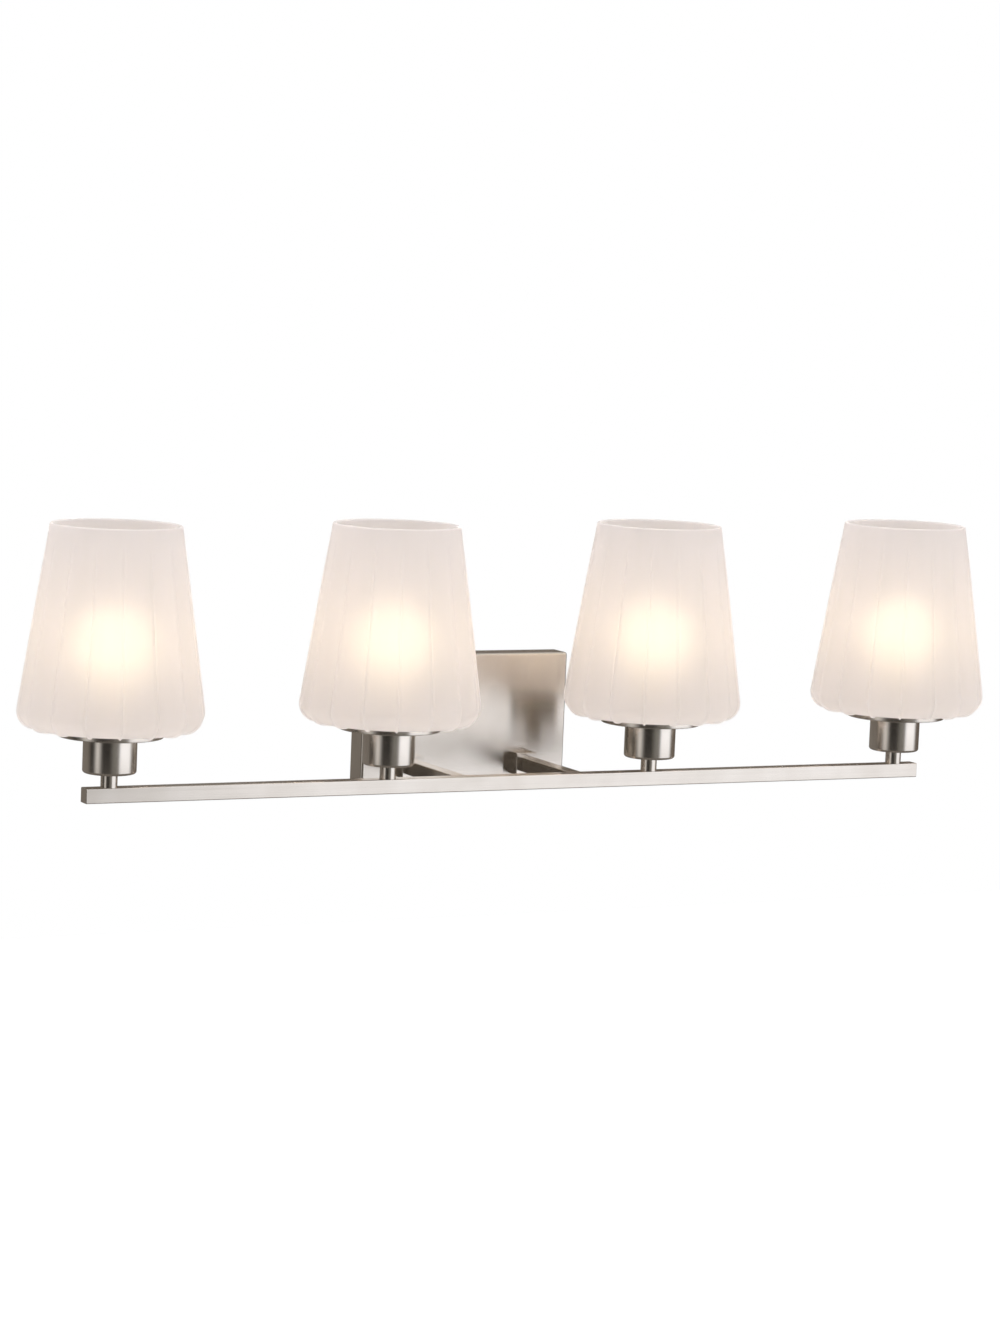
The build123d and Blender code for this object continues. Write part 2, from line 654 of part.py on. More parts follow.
def make_bulb_base(light_x, name):
    """The lamp's screw cap: contact tip, insulating cone and rolled thread."""
    crest_step = BASE_PITCH / 2
    thread = []
    for turn in range(BASE_TURNS):
        crest_z = BASE_THREAD_BOTTOM + turn * BASE_PITCH
        thread.append((BASE_R - BASE_THREAD_DEPTH, crest_z))
        thread.append((BASE_R, crest_z + crest_step))
    with BuildPart() as bulb_base:
        with BuildSketch(light_plane(light_x)):
            with BuildLine():
                Polyline(
                    (0, BULB_TIP),
                    (TIP_R - TIP_EDGE, BULB_TIP),
                    (TIP_R, BULB_TIP + TIP_HEIGHT),
                    (BASE_R - INSULATOR_INSET, BULB_TIP + TIP_HEIGHT + INSULATOR_RISE),
                    (BASE_R - SHELL_FOOT_INSET, BULB_TIP + TIP_HEIGHT + SHELL_FOOT_RISE),
                    *thread,
                    (BASE_R - BASE_THREAD_DEPTH, BASE_TOP - BASE_FLARE),
                    (BASE_R, BASE_TOP),
                    (0, BASE_TOP),
                    close=True,
                )
            make_face()
        revolve(axis=light_axis(light_x))
    save(bulb_base, name)


def bulb_outline(inset):
    """Neck and globe of the lamp's glass, as a smooth line from the neck to the crown."""
    globe_r = BULB_R - inset
    join = math.radians(BULB_JOIN_ANGLE)
    join_point = (globe_r * math.cos(join), BULB_CENTRE + globe_r * math.sin(join))
    join_tangent = (-math.sin(join), math.cos(join))
    neck = (BULB_NECK_R - inset, BASE_TOP)
    return neck, join_point, join_tangent, (0, BULB_CENTRE + globe_r), globe_r


def make_bulb_glass(light_x, name):
    with BuildPart() as bulb_glass:
        for inset, mode in ((0, Mode.ADD), (BULB_WALL, Mode.SUBTRACT)):
            neck, join_point, join_tangent, crown, globe_r = bulb_outline(inset)
            with BuildSketch(light_plane(light_x)):
                with BuildLine():
                    Line((0, BASE_TOP), neck)
                    Spline(neck, join_point, tangents=(BULB_NECK_TANGENT, join_tangent))
                    RadiusArc(join_point, crown, -globe_r)
                    Line(crown, (0, BASE_TOP))
                make_face()
            revolve(axis=light_axis(light_x), mode=mode)
    save(bulb_glass, name)


# ---- wiring ----------------------------------------------------------------------------------
def lead_route(light, polarity):
    """A lead from a lampholder's terminal, down, along the bar and its arm, to its connector.

    polarity is -1 for live, +1 for neutral.
    """
    light_x = LIGHT_XS[light]
    side = -1 if light_x < 0 else 1
    level = -1 if abs(light_x) > LIGHT_SPACING else 1
    run_y = LIGHT_Y + polarity * LEAD_SIDE_STEP
    run_z = TUBE_CENTRE_Z + level * LEAD_LEVEL_STEP
    arm_x = side * (ARM_X + polarity * LEAD_SIDE_STEP)
    connector_x, connector_y = LIVE_CONNECTOR if polarity < 0 else NEUTRAL_CONNECTOR
    end_x = connector_x + side * BUNDLE_STEP
    end_y = connector_y + level * BUNDLE_STEP
    return [
        (light_x, run_y, BAR_TOP + WEB_BOTTOM - TERMINAL_THICKNESS),
        (light_x, run_y, run_z),
        (arm_x, run_y, run_z),
        (arm_x, end_y, run_z),
        (end_x, end_y, run_z),
        (end_x, end_y, CONNECTOR_BOTTOM + LEAD_TUCK),
    ]


def make_leads(polarity, name):
    with BuildPart() as leads:
        for light in range(len(LIGHT_XS)):
            with BuildLine() as route:
                FilletPolyline(*lead_route(light, polarity), radius=LEAD_BEND)
            with BuildSketch(Plane(origin=route.line @ 0, z_dir=route.line % 0)):
                Circle(LEAD_R)
            sweep(path=route.line)
    save(leads, name)


def make_ground_lead():
    """A bare lead hooked round the ground screw and led up into its own connector."""
    loop_y = GROUND_HEAD_Y + GROUND_LEAD_R + GROUND_LEAD_GAP
    loop_bottom = GROUND_SCREW_Z - GROUND_LOOP_R
    loop_bend = GROUND_LOOP_R - BEND_ALLOWANCE
    connector_x, connector_y = GROUND_CONNECTOR
    with BuildPart() as ground_lead:
        with BuildLine() as route:
            FilletPolyline(
                (-GROUND_LOOP_R, loop_y, GROUND_SCREW_Z + GROUND_HOOK_RISE),
                (-GROUND_LOOP_R, loop_y, loop_bottom),
                (GROUND_LOOP_R, loop_y, loop_bottom),
                (GROUND_LOOP_R, loop_y, GROUND_BEND_Z),
                (connector_x, connector_y, GROUND_STRAIGHT_Z),
                (connector_x, connector_y, GROUND_CONNECTOR_BOTTOM + LEAD_TUCK),
                radius=(loop_bend, loop_bend, LEAD_BEND, LEAD_BEND),
            )
        with BuildSketch(Plane(origin=route.line @ 0, z_dir=route.line % 0)):
            Circle(GROUND_LEAD_R)
        sweep(path=route.line)
    save(ground_lead, "ground_lead")


def make_wire_connectors():
    """Three twist-on connectors, mouths down."""
    seats = (
        (*LIVE_CONNECTOR, CONNECTOR_BOTTOM),
        (*NEUTRAL_CONNECTOR, CONNECTOR_BOTTOM),
        (*GROUND_CONNECTOR, GROUND_CONNECTOR_BOTTOM),
    )
    with BuildPart() as wire_connectors:
        for x, y, bottom in seats:
            mouth = Plane(origin=(x, y, bottom))
            with BuildSketch(mouth):
                RegularPolygon(CONNECTOR_R, CONNECTOR_SIDES)
            with BuildSketch(mouth.offset(CONNECTOR_LENGTH)):
                RegularPolygon(CONNECTOR_TIP_R, CONNECTOR_SIDES)
            loft()
            with BuildSketch(mouth):
                Circle(CONNECTOR_BORE_R)
            extrude(amount=CONNECTOR_BORE_DEPTH, mode=Mode.SUBTRACT)
    save(wire_connectors, "wire_connectors")


# ---- the whole light bar ---------------------------------------------------------------------
make_backplate()
make_mounting_strap()
make_plate_screws()
make_ground_screw()
make_bar()
make_bar_end_cap(-1, "bar_end_cap_left")
make_bar_end_cap(1, "bar_end_cap_right")
for arm_x, side_name in ((-ARM_X, "left"), (ARM_X, "right")):
    make_arm(arm_x, f"arm_{side_name}")
    make_arm_collar(arm_x, f"arm_collar_{side_name}")
make_arm_plugs()
make_arm_nipples()
make_arm_lock_washers()
make_arm_nuts()
make_light_nipples()
make_light_nuts()
make_lampholder_caps()
make_lampholder_contacts()
make_lampholder_terminals()
make_leads(-1, "live_leads")
make_leads(1, "neutral_leads")
make_ground_lead()
make_wire_connectors()
for number, (light_x, turn) in enumerate(zip(LIGHT_XS, RIB_TURNS), start=1):
    make_stud(light_x, f"stud_{number}")
    make_socket_cup(light_x, f"socket_cup_{number}")
    make_glass_holder(light_x, f"glass_holder_{number}")
    make_lampholder(light_x, f"lampholder_{number}")
    make_screw_shell(light_x, f"screw_shell_{number}")
    make_retaining_ring(light_x, f"retaining_ring_{number}")
    make_shade(light_x, turn, f"shade_{number}")
    make_bulb_base(light_x, f"bulb_base_{number}")
    make_bulb_glass(light_x, f"bulb_glass_{number}")
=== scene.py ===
"""Looks, light and camera of the vanity light bar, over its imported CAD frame. Metres, +Z up."""
import math

import bpy
from mathutils import Matrix, Vector


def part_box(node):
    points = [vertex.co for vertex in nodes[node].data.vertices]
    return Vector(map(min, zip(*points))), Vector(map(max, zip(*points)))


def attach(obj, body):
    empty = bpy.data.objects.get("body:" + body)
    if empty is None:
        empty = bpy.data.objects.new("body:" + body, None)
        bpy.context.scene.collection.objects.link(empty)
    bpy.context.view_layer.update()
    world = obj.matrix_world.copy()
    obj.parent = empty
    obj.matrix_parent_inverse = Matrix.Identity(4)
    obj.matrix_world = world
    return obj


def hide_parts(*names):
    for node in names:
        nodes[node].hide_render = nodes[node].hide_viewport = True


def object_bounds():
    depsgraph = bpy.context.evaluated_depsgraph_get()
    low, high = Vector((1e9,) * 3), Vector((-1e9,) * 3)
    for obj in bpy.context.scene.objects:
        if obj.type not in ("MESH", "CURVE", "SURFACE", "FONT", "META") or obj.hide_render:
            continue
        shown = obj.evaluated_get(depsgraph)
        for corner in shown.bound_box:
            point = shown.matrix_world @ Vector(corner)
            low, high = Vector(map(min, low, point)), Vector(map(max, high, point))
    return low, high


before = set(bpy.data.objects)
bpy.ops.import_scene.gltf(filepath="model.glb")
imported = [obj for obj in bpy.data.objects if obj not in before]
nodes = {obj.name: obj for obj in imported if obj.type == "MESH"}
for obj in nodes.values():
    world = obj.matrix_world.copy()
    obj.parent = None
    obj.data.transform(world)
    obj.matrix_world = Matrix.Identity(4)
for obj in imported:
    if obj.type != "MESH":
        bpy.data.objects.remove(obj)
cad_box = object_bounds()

MM = 0.001
LIGHTS = (1, 2, 3, 4)

# ---- node helpers ----------------------------------------------------------------------------


def new_material(name):
    """A material with an empty Principled shader: (material, its tree, the shader)."""
    material = bpy.data.materials.new(name)
    material.use_nodes = True
    tree = material.node_tree
    return material, tree, tree.nodes["Principled BSDF"]


def add(tree, kind, inputs=None, **settings):
    """A node with its settings, and with inputs that are values or other nodes' outputs."""
    made = tree.nodes.new(kind)
    for key, value in settings.items():
        setattr(made, key, value)
    for key, value in (inputs or {}).items():
        if isinstance(value, bpy.types.NodeSocket):
            tree.links.new(value, made.inputs[key])
        else:
            made.inputs[key].default_value = value
    return made


def ramp(tree, factor, stops, interpolation="LINEAR"):
    """A colour ramp's output; stops are (place, grey or colour)."""
    made = add(tree, "ShaderNodeValToRGB", {"Fac": factor})
    made.color_ramp.interpolation = interpolation
    elements = made.color_ramp.elements
    while len(elements) < len(stops):
        elements.new(0.5)
    for element, (place, colour) in zip(elements, stops):
        element.position = place
        if not isinstance(colour, tuple):
            colour = (colour, colour, colour)
        element.color = (*colour, 1)
    return made.outputs["Color"]


def maths(tree, operation, *values):
    """A maths node's output."""
    inputs = dict(enumerate(values))
    return add(tree, "ShaderNodeMath", inputs, operation=operation).outputs[0]


def remap(tree, value, measured, wanted):
    """A value stretched from the range measured to the range wanted."""
    inputs = {"Value": value, "From Min": measured[0], "From Max": measured[1]}
    inputs.update({"To Min": wanted[0], "To Max": wanted[1]})
    return add(tree, "ShaderNodeMapRange", inputs).outputs["Result"]


def stretched_noise(tree, scale, detail=3.0, roughness=0.6):
    """Noise over the object's own coordinates, `scale` per axis in cycles per metre."""
    place = add(tree, "ShaderNodeTexCoord").outputs["Object"]
    mapped = add(tree, "ShaderNodeMapping", {"Vector": place, "Scale": scale}).outputs["Vector"]
    noise = add(
        tree,
        "ShaderNodeTexNoise",
        {"Vector": mapped, "Scale": 1.0, "Detail": detail, "Roughness": roughness},
    )
    return noise.outputs["Fac"]


def bump(tree, shader, height, depth, strength=1.0):
    """Fine relief on a shader's surface, depth in metres."""
    inputs = {"Height": height, "Distance": depth, "Strength": strength}
    made = add(tree, "ShaderNodeBump", inputs)
    tree.links.new(made.outputs["Normal"], shader.inputs["Normal"])


def blend_colours(tree, factor, first, second):
    """first where the factor is 0 and second where it is 1; each is a colour or a socket."""
    made = add(tree, "ShaderNodeMix", data_type="RGBA")
    tree.links.new(factor, made.inputs["Factor"])
    for name, colour in (("A", first), ("B", second)):
        if isinstance(colour, bpy.types.NodeSocket):
            tree.links.new(colour, made.inputs[name])
        else:
            made.inputs[name].default_value = (*colour, 1)
    return made.outputs["Result"]


def blend_shaders(tree, factor, first, second):
    inputs = {"Fac": factor, 1: first, 2: second}
    return add(tree, "ShaderNodeMixShader", inputs).outputs["Shader"]


# ---- materials -------------------------------------------------------------------------------
NICKEL_LIGHT = (0.81, 0.76, 0.70)
NICKEL_DARK = (0.73, 0.675, 0.61)
GLASS_LIGHT = (0.925, 0.895, 0.895)
GLASS_DARK = (0.90, 0.875, 0.87)
NOISE_RANGE = (0.3, 0.7)  # where most of a noise's values lie
NOISE_STOPS = ((0.3, 0.0), (0.7, 1.0))
CLOUD_GRAIN = (22, 22, 22)
METAL_GRAIN = (240, 240, 240)
SOLID_GRAIN = (400, 400, 400)


def brushed_nickel(name, grain, across, roughness, anisotropy, spread):
    """Satin nickel. grain is its noise scale per axis, long where the brush ran; across is the
    direction that highlights smear in, and spread is how far its roughness varies."""
    material, tree, shader = new_material(name)
    strokes = stretched_noise(tree, grain)
    clouds = stretched_noise(tree, CLOUD_GRAIN, detail=2)
    colour = blend_colours(tree, ramp(tree, clouds, NOISE_STOPS), NICKEL_LIGHT, NICKEL_DARK)
    rough = remap(tree, strokes, NOISE_RANGE, (roughness * (1 - spread), roughness * (1 + spread)))
    tree.links.new(colour, shader.inputs["Base Color"])
    tree.links.new(rough, shader.inputs["Roughness"])
    shader.inputs["Metallic"].default_value = 1.0
    shader.inputs["Anisotropic"].default_value = anisotropy
    tangent = add(tree, "ShaderNodeCombineXYZ", {"X": across[0], "Y": across[1], "Z": across[2]})
    tree.links.new(tangent.outputs["Vector"], shader.inputs["Tangent"])
    bump(tree, shader, strokes, 0.00002, spread)
    return material


def plain_metal(name, light, dark, roughness):
    material, tree, shader = new_material(name)
    mottle = stretched_noise(tree, METAL_GRAIN, detail=4)
    colour = blend_colours(tree, ramp(tree, mottle, ((0.35, 0.0), (0.65, 1.0))), light, dark)
    rough = remap(tree, mottle, (0.0, 1.0), (roughness * 0.7, roughness * 1.3))
    tree.links.new(colour, shader.inputs["Base Color"])
    tree.links.new(rough, shader.inputs["Roughness"])
    shader.inputs["Metallic"].default_value = 1.0
    bump(tree, shader, mottle, 0.00004)
    return material


def plain_solid(name, light, dark, roughness, coat=0.0):
    """Plastic, insulation or glazed porcelain."""
    material, tree, shader = new_material(name)
    mottle = stretched_noise(tree, SOLID_GRAIN, detail=3)
    colour = blend_colours(tree, ramp(tree, mottle, NOISE_STOPS), light, dark)
    tree.links.new(colour, shader.inputs["Base Color"])
    shader.inputs["Roughness"].default_value = roughness
    shader.inputs["Coat Weight"].default_value = coat
    shader.inputs["Coat Roughness"].default_value = 0.06
    bump(tree, shader, mottle, 0.00003)
    return material


LAMP_COLOUR = (1.0, 0.82, 0.53)
LAMP_BODY = (0.62, 0.58, 0.50)
LAMP_STRENGTH = 2.5
LAMP_MOTTLE = 0.1
LAMP_NECK_GLOW = 0.12  # the neck's share of the globe's brightness
LAMP_GLOW_HEIGHTS = (0.062, 0.1)  # from the neck to the globe, above the bar with the lamp at rest


def lamp_glass():
    """Soft white lamp glass, lit: brightest round the globe, dimmer towards its neck."""
    material, tree, shader = new_material("lamp_glass")
    shader.inputs["Base Color"].default_value = (*LAMP_BODY, 1)
    shader.inputs["Roughness"].default_value = 0.35
    place_on_lamp = add(tree, "ShaderNodeTexCoord").outputs["Object"]
    height = add(tree, "ShaderNodeSeparateXYZ", {0: place_on_lamp}).outputs["Z"]
    glow = remap(tree, height, LAMP_GLOW_HEIGHTS, (LAMP_NECK_GLOW, 1.0))
    grain = stretched_noise(tree, (300, 300, 300))
    fine = maths(tree, "MULTIPLY_ADD", grain, LAMP_MOTTLE, 1 - LAMP_MOTTLE / 2)
    strength = maths(tree, "MULTIPLY", maths(tree, "MULTIPLY", glow, fine), LAMP_STRENGTH)
    shader.inputs["Emission Color"].default_value = (*LAMP_COLOUR, 1)
    tree.links.new(strength, shader.inputs["Emission Strength"])
    return material


def frosted_glass():
    """Acid-frosted white glass: part rough refraction, part light scattered straight through."""
    material, tree, shader = new_material("frosted_glass")
    frost = stretched_noise(tree, (900, 900, 900), detail=2)
    streaks = stretched_noise(tree, (60, 60, 9), detail=3)
    colour = blend_colours(tree, ramp(tree, streaks, NOISE_STOPS), GLASS_LIGHT, GLASS_DARK)
    tree.links.new(colour, shader.inputs["Base Color"])
    shader.inputs["Roughness"].default_value = 0.62
    shader.inputs["IOR"].default_value = 1.3
    shader.inputs["Transmission Weight"].default_value = 0.6
    bump(tree, shader, frost, 0.00003)
    through = add(tree, "ShaderNodeBsdfTranslucent", {"Color": colour})
    both = blend_shaders(tree, 0.3, shader.outputs["BSDF"], through.outputs["BSDF"])
    tree.links.new(both, tree.nodes["Material Output"].inputs["Surface"])
    return material


FINE, LONG = 1900, 5
UPRIGHT = (0, 0.35, 1)  # along Z on upright faces, and along Y on level ones
MATERIALS = {
    "nickel_x": brushed_nickel("nickel_x", (LONG, FINE, FINE), UPRIGHT, 0.2, 0.95, 0.15),
    "nickel_y": brushed_nickel("nickel_y", (FINE, LONG, FINE), UPRIGHT, 0.2, 0.5, 0.2),
    "nickel_turned": brushed_nickel("nickel_turned", (LONG, LONG, FINE), UPRIGHT, 0.24, 0.2, 0.12),
    "zinc": plain_metal("zinc", (0.66, 0.67, 0.68), (0.50, 0.51, 0.53), 0.36),
    "brass": plain_metal("brass", (0.84, 0.64, 0.30), (0.70, 0.50, 0.22), 0.26),
    "copper": plain_metal("copper", (0.82, 0.46, 0.30), (0.62, 0.32, 0.20), 0.3),
    "green_screw": plain_metal("green_screw", (0.08, 0.42, 0.16), (0.04, 0.28, 0.10), 0.3),
    "lamp_cap": plain_metal("lamp_cap", (0.80, 0.80, 0.79), (0.66, 0.66, 0.65), 0.24),
    "porcelain": plain_solid("porcelain", (0.88, 0.87, 0.83), (0.82, 0.80, 0.76), 0.28, coat=0.6),
    "ring_plastic": plain_solid("ring_plastic", (0.86, 0.85, 0.82), (0.80, 0.79, 0.75), 0.42),
    "live": plain_solid("live", (0.030, 0.030, 0.034), (0.018, 0.018, 0.021), 0.4),
    "neutral": plain_solid("neutral", (0.86, 0.85, 0.82), (0.78, 0.77, 0.73), 0.4),
    "connector": plain_solid("connector", (0.80, 0.24, 0.04), (0.70, 0.19, 0.03), 0.38),
    "lamp_glass": lamp_glass(),
    "frosted_glass": frosted_glass(),
}


def paint(obj, material_name):
    obj.data.materials.clear()
    obj.data.materials.append(MATERIALS[material_name])


# ---- carried-over CAD nodes ------------------------------------------------------------------
PAINT = {
    "nickel_x": ("backplate", "bar", "bar_end_cap_left", "bar_end_cap_right"),
    "nickel_y": ("arm_left", "arm_right", "arm_collar_left", "arm_collar_right"),
    "zinc": (
        "mounting_strap", "plate_screws", "arm_plugs", "arm_nipples", "arm_lock_washers", "arm_nuts",
        "light_nipples", "light_nuts", "lampholder_caps",
    ),
    "green_screw": ("ground_screw",),
    "copper": ("ground_lead",),
    "live": ("live_leads",),
    "neutral": ("neutral_leads",),
    "connector": ("wire_connectors",),
    "brass": ("lampholder_contacts", "lampholder_terminals", *[f"screw_shell_{n}" for n in LIGHTS]),
    "porcelain": tuple(f"lampholder_{n}" for n in LIGHTS),
    "ring_plastic": tuple(f"retaining_ring_{n}" for n in LIGHTS),
    "lamp_cap": tuple(f"bulb_base_{n}" for n in LIGHTS),
}
for material_name, members in PAINT.items():
    for member in members:
        paint(nodes[member], material_name)


# ---- mesh helpers ----------------------------------------------------------------------------
def arc(centre_r, centre_z, radius, start, end, steps):
    """Points on an arc in a lathe profile; angles in degrees from outwards, towards up."""
    turned = [math.radians(start + (end - start) * i / steps) for i in range(steps + 1)]
    return [(centre_r + radius * math.cos(a), centre_z + radius * math.sin(a)) for a in turned]


def ring_mesh(name, rows, material_name):
    """A closed mesh from rows of points that each go once round an axis; the last row meets the first."""
    count = len(rows[0])
    points = [point for row in rows for point in row]
    faces = []
    for low in range(len(rows)):
        high = (low + 1) % len(rows)
        for i in range(count):
            j = (i + 1) % count
            faces.append((low * count + i, low * count + j, high * count + j, high * count + i))
    mesh = bpy.data.meshes.new(name)
    mesh.from_pydata(points, [], faces)
    mesh.validate()
    mesh.shade_smooth()
    mesh.set_sharp_from_angle(angle=math.radians(40))
    mesh.materials.append(MATERIALS[material_name])
    return mesh


def lathe(name, profile, material_name, segments=128):
    """A closed ring turned from a closed (radius, height) profile in millimetres."""
    turns = [2 * math.pi * i / segments for i in range(segments)]
    rows = [[(r * MM * math.cos(a), r * MM * math.sin(a), z * MM) for a in turns] for r, z in profile]
    return ring_mesh(name, rows, material_name)


def place(name, mesh, light_x, body, node, slot):
    """A piece on a light's axis, standing for a CAD node."""
    piece = bpy.data.objects.new(name, mesh)
    piece.location = (light_x, light_y, bar_top)
    bpy.context.scene.collection.objects.link(piece)
    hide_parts(node)
    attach(piece, body)


# ---- the lights' round parts -----------------------------------------------------------------
bar_low, bar_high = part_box("bar")
light_y = (bar_low.y + bar_high.y) / 2
bar_top = bar_high.z
LIGHT_XS = [sum(corner.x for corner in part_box(f"stud_{n}")) / 2 for n in LIGHTS]


def heights(node):
    """A node's outer radius, foot and top, in millimetres above the bar's top face."""
    low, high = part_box(node)
    return (high.x - low.x) / 2 / MM, (low.z - bar_top) / MM, (high.z - bar_top) / MM


def cup_mesh():
    radius, foot, top = heights("socket_cup_1")
    wall, edge, bore, lip = 1.1, 2.2, 4.9, 0.25
    profile = [(bore, foot)]
    profile += arc(radius - edge, foot + edge, edge, -90, 0, 10)
    profile += arc(radius - lip, top - lip, lip, 0, 90, 3)
    profile += [(radius - wall, top), (radius - wall, foot + edge)]
    profile += arc(radius - edge, foot + edge, edge - wall, 0, -90, 6)
    profile += [(bore, foot + wall)]
    return lathe("socket_cup", profile, "nickel_turned")


def holder_mesh():
    radius, foot, top = heights("glass_holder_1")
    edge, bore = 0.5, 19.2
    profile = [(bore, foot)]
    profile += arc(radius - edge, foot + edge, edge, -90, 0, 5)
    profile += arc(radius - edge, top - edge, edge, 0, 90, 5)
    profile += [(bore, top)]
    return lathe("glass_holder", profile, "nickel_turned", 192)


def stud_mesh():
    """The stud, bored for the leads and wider above for its nipple."""
    radius, foot, top = heights("stud_1")
    bore, nipple, ledge = 3.25, 4.9, foot + 2
    profile = [(bore, foot), (radius, foot), (radius, top), (nipple, top), (nipple, ledge), (bore, ledge)]
    return lathe("stud", profile, "nickel_turned", 64)


def bulb_mesh():
    """A19 glass: neck, flare and globe, open at the neck where the cap takes it."""
    radius, foot, top = heights("bulb_glass_1")
    centre_z = top - radius
    neck, wall, join, crown, crown_gap = 13.5, 1.0, -22, 89.5, 0.05
    flare_steps, late_share = 16, 0.35  # late_share of the flare's widening comes near its top
    globe = arc(0, centre_z, radius, join, crown, 40)
    join_r, join_z = globe[0]
    flare = []
    for i in range(flare_steps):
        t = i / flare_steps
        bend = 3 * t * t - 2 * t * t * t
        widened = late_share * t * t * t + (1 - late_share) * bend
        flare.append((neck + (join_r - neck) * widened, foot + (join_z - foot) * t))
    outside = flare + globe
    inside = []
    for r, z in outside:
        climb = max(z - centre_z, 0) / radius
        inside.append((max(r - wall, crown_gap), z - wall * climb))
    return lathe("bulb_glass", outside + inside[::-1], "lamp_glass", 64)


# ---- the ribbed shade ------------------------------------------------------------------------
RIBS = 16
RIB_HALF_WIDTH = 0.8
RIB_TURNS = (8.2, 2.5, 11.0, -6.3)  # degrees that each shade is turned on its holder
RIB_ARC_R = 62  # radius at which a rib's half width is measured
RIB_SIDE_COLUMNS = 9
GLASS = 3.0


def shade_profile():
    """Outer points from the base's hole to the rim, with each one's outward normal and rib height."""
    hole, flat, taper, base_rise, corner = 21.0, 41.0, 0.145, 0.11, 13.2
    rim_r, rim_z, base_z = 49.25, 197.3, 42.4
    rib_height, fade_top, rib_end, rib_run = 1.23, 186.0, 47.0, 6
    flat_steps, rise_steps, bend_steps, wall_steps = 5, 6, 18, 30
    wall_tilt = math.degrees(math.atan(taper))
    base_tilt = math.degrees(math.atan(base_rise))
    # centre of the corner's arc: one corner radius inside both the wall line and the base line
    wall_r = rim_r - corner * math.hypot(1, taper)
    rise_z = base_z + corner * math.hypot(1, base_rise)
    centre_r = wall_r + taper * (rim_z - rise_z + base_rise * flat)
    centre_r /= 1 + taper * base_rise
    centre_z = rise_z + base_rise * (centre_r - flat)
    bend = arc(centre_r, centre_z, corner, base_tilt - 90, wall_tilt, bend_steps)
    foot_r = bend[0][0]
    low_z = bend[-1][1]
    points = []
    for i in range(flat_steps):
        points.append((hole + (flat - hole) * i / flat_steps, base_z, -90.0, 0.0))
    for i in range(rise_steps):
        r = flat + (foot_r - flat) * i / rise_steps
        grown = min(max((r - rib_end) / rib_run, 0), 1)
        points.append((r, base_z + base_rise * (r - flat), base_tilt - 90, rib_height * grown))
    for i, (r, z) in enumerate(bend):
        tilt = base_tilt - 90 + (wall_tilt + 90 - base_tilt) * i / bend_steps
        points.append((r, z, tilt, rib_height))
    for i in range(1, wall_steps + 1):
        z = low_z + (rim_z - GLASS / 2 - low_z) * i / wall_steps
        fade = min(max((fade_top - z) / (fade_top - low_z), 0), 1)
        points.append((rim_r + taper * (rim_z - z), z, wall_tilt, rib_height * fade ** 0.4))
    return points


def rib_columns(turn):
    """Angles round the shade, close together at each rib, with the rib's share of its height."""
    half_step = math.pi / RIBS
    columns = []
    for rib in range(RIBS):
        for i in range(-RIB_SIDE_COLUMNS, RIB_SIDE_COLUMNS):
            across = half_step * abs(i / RIB_SIDE_COLUMNS) ** 2 * (1 if i > 0 else -1)
            arc_mm = abs(across) * RIB_ARC_R
            ridge = math.exp(-((arc_mm / RIB_HALF_WIDTH) ** 2))
            columns.append((2 * half_step * rib + across + turn, ridge))
    return columns


def shade_mesh(turn):
    columns = rib_columns(math.radians(turn - 90))
    outside, inside = [], []
    profile = shade_profile()
    for r, z, tilt, rib in profile:
        out_r, out_z = math.cos(math.radians(tilt)), math.sin(math.radians(tilt))
        row = []
        for angle, ridge in columns:
            push = rib * ridge
            radius = (r + out_r * push) * MM
            row.append((radius * math.cos(angle), radius * math.sin(angle), (z + out_z * push) * MM))
        outside.append(row)
        radius, height = (r - out_r * GLASS) * MM, (z - out_z * GLASS) * MM
        inside.append([(radius * math.cos(a), radius * math.sin(a), height) for a, _ in columns])
    rim_r, rim_z, tilt, _ = profile[-1]
    centre_r = rim_r - GLASS / 2 * math.cos(math.radians(tilt))
    rim = []
    for r, z in arc(centre_r, rim_z, GLASS / 2, tilt + 15, tilt + 165, 8):
        rim.append([(r * MM * math.cos(a), r * MM * math.sin(a), z * MM) for a, _ in columns])
    return ring_mesh("shade", outside + rim + inside[::-1], "frosted_glass")


cup, holder, stud, bulb = cup_mesh(), holder_mesh(), stud_mesh(), bulb_mesh()
for number, light_x, turn in zip(LIGHTS, LIGHT_XS, RIB_TURNS):
    place(f"cup_{number}", cup, light_x, "fixture", f"socket_cup_{number}", "satin_nickel")
    place(f"holder_{number}", holder, light_x, "fixture", f"glass_holder_{number}", "satin_nickel")
    place(f"post_{number}", stud, light_x, "fixture", f"stud_{number}", "satin_nickel")
    place(f"lamp_{number}", bulb, light_x, f"bulb_{number}", f"bulb_glass_{number}", "lamp_glass")
    shade = shade_mesh(turn)
    place(f"glass_{number}", shade, light_x, f"shade_{number}", f"shade_{number}", "frosted_glass")

# ---- floor, studio and camera ----------------------------------------------------------------
FLOOR_DROP = 0.45


def make_floor():
    low, _ = cad_box
    side = 1.7
    mesh = bpy.data.meshes.new("floor")
    corners = [(-side, -side), (side, -side), (side, side), (-side, side)]
    mesh.from_pydata([(x, y, low.z - FLOOR_DROP) for x, y in corners], [], [(0, 1, 2, 3)])
    floor = bpy.data.objects.new("floor", mesh)
    bpy.context.scene.collection.objects.link(floor)
    material, tree, shader = new_material("floor")
    haze = stretched_noise(tree, (1.5, 1.5, 1.5), detail=1)
    colour = blend_colours(tree, haze, (0.93, 0.93, 0.925), (0.90, 0.90, 0.895))
    tree.links.new(colour, shader.inputs["Base Color"])
    shader.inputs["Roughness"].default_value = 0.9
    mesh.materials.append(material)
    floor.visible_glossy = False


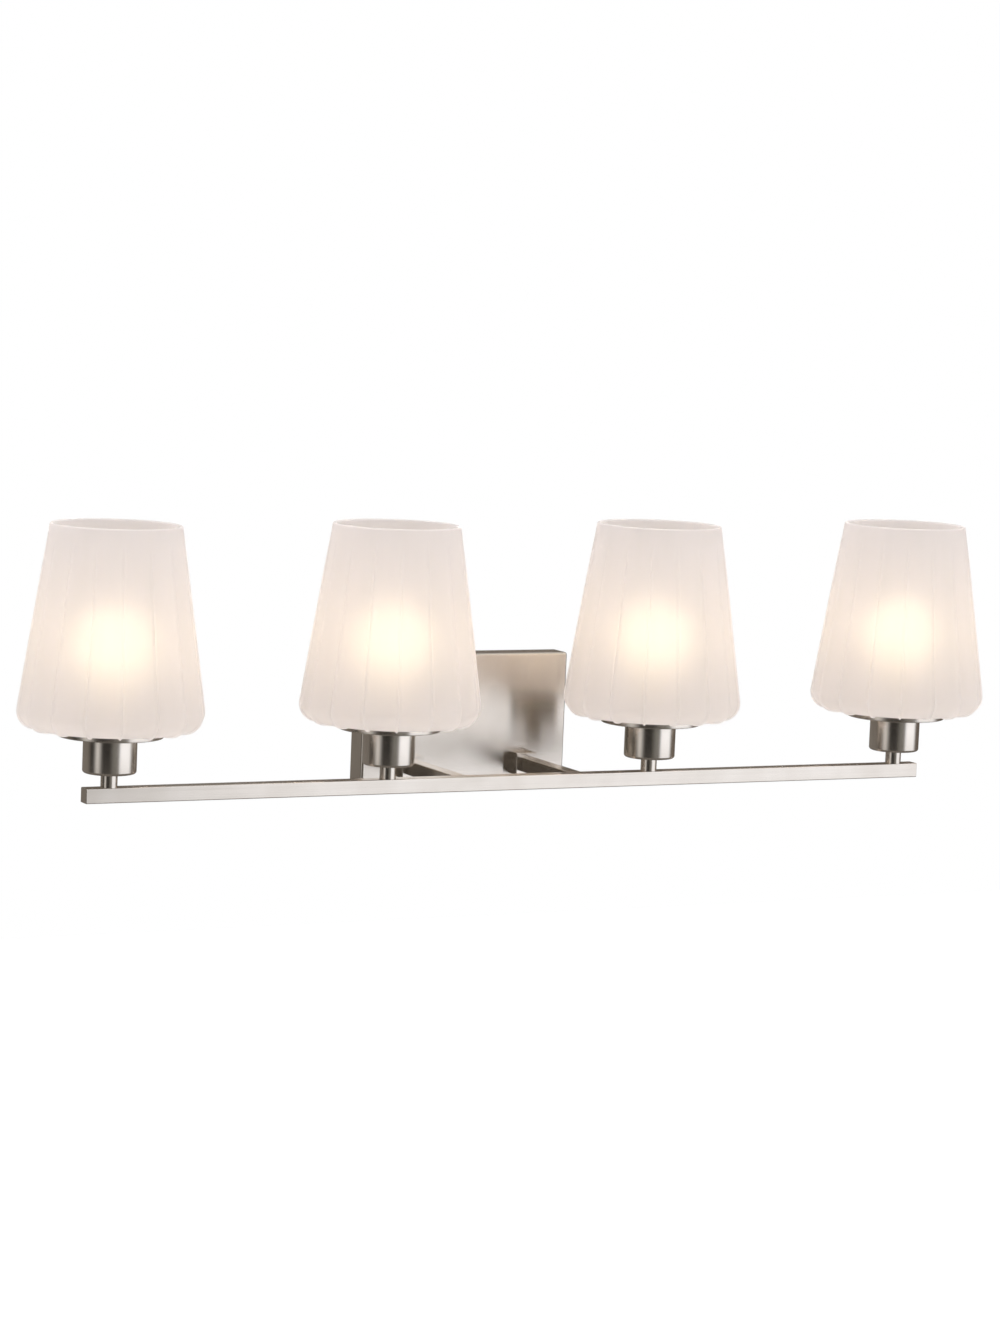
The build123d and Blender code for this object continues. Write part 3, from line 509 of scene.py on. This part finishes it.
# panels of the studio that the metal mirrors: (where each starts, in degrees from straight out of
# the wall towards +X, how soft that edge is, its brightness and its tint)
STUDIO = (
    (-201, 9, 0.20, (1.0, 0.90, 0.80)),
    (-116, 9, 0.03, (1.0, 0.92, 0.82)),
    (-84, 8, 0.80, (1.0, 0.98, 0.96)),
    (-63, 9, 0.022, (1.0, 0.92, 0.82)),
    (-12, 9, 0.20, (1.0, 0.97, 0.90)),
    (20.5, 2.5, 1.25, (0.985, 1.0, 1.05)),
    (78, 8, 0.14, (1.0, 0.82, 0.68)),
)
SOFT_SIDES = (0.76, 0.735, 0.72)  # the dome that every ray but a mirror or camera ray meets
SOFT_TOP = (1.40, 1.39, 1.38)
MIRRORED_TOP = (0.62, 0.60, 0.57)
MIRRORED_FLOOR = (0.17, 0.155, 0.14)
# soft edges between levels, from 0 straight down to 1 straight up
MIRRORED_FLOOR_EDGE = (0.28, 0.40)
MIRRORED_TOP_EDGE = (0.75, 0.85)
SOFT_TOP_EDGE = (0.67, 0.75)


def studio_stops():
    """Ramp stops over a full turn, each panel flat between soft edges."""
    stops = []
    for i, (start, edge, level, tint) in enumerate(STUDIO):
        next_start, next_edge = STUDIO[(i + 1) % len(STUDIO)][:2]
        colour = tuple(level * c for c in tint)
        for angle in (start + edge, next_start - next_edge):
            stops.append((((angle + 180) % 360) / 360, colour))
    return sorted(stops, key=lambda stop: stop[0])


def above(tree, height, span, low, high):
    """Colour low below the span of heights and colour high above it; each may be a socket."""
    return blend_colours(tree, ramp(tree, height, ((span[0], 0.0), (span[1], 1.0))), low, high)


def make_studio():
    """Tall soft panels round the room and a broad one overhead; the camera itself sees plain white."""
    world = bpy.data.worlds.new("studio")
    bpy.context.scene.world = world
    world.use_nodes = True
    tree = world.node_tree
    tree.nodes.clear()
    direction = add(tree, "ShaderNodeTexCoord").outputs["Generated"]
    split = add(tree, "ShaderNodeSeparateXYZ", {0: direction}).outputs
    bearing = maths(tree, "ARCTAN2", split["X"], maths(tree, "MULTIPLY", split["Y"], -1.0))
    turn = maths(tree, "MULTIPLY_ADD", bearing, 0.5 / math.pi, 0.5)
    panels = ramp(tree, turn, studio_stops())
    height = maths(tree, "MULTIPLY_ADD", split["Z"], 0.5, 0.5)
    standing = above(tree, height, MIRRORED_FLOOR_EDGE, MIRRORED_FLOOR, panels)
    mirrored = above(tree, height, MIRRORED_TOP_EDGE, standing, MIRRORED_TOP)
    soft = above(tree, height, SOFT_TOP_EDGE, SOFT_SIDES, SOFT_TOP)
    path = add(tree, "ShaderNodeLightPath").outputs
    room = blend_colours(tree, path["Is Glossy Ray"], soft, mirrored)
    lit = add(tree, "ShaderNodeBackground", {"Color": room, "Strength": 1.0}).outputs["Background"]
    seen = add(tree, "ShaderNodeBackground", {"Color": (1, 1, 1, 1), "Strength": 1.0}).outputs["Background"]
    output = add(tree, "ShaderNodeOutputWorld")
    shown = blend_shaders(tree, path["Is Camera Ray"], lit, seen)
    tree.links.new(shown, output.inputs["Surface"])


def make_camera():
    position = Vector((-1.4322, -2.8913, 0.4165))
    yaw, pitch, roll = (math.radians(a) for a in (-26.98, -6.50, 2.35))
    ahead = Vector((-math.sin(yaw) * math.cos(pitch), math.cos(yaw) * math.cos(pitch), math.sin(pitch)))
    right = ahead.cross(Vector((0, 0, 1))).normalized()
    up = right.cross(ahead)
    turned_right = right * math.cos(roll) + up * math.sin(roll)
    turned_up = up * math.cos(roll) - right * math.sin(roll)
    camera = bpy.data.objects.new("camera", bpy.data.cameras.new("camera"))
    camera.data.sensor_width = 36.0
    camera.data.lens = 109.33
    camera.data.clip_end = 50.0
    rotation = Matrix((turned_right, turned_up, -ahead)).transposed()
    camera.matrix_world = Matrix.Translation(position) @ rotation.to_4x4()
    bpy.context.scene.collection.objects.link(camera)
    bpy.context.scene.camera = camera


make_floor()
make_studio()
make_camera()
bpy.context.scene.view_settings.view_transform = "Standard"
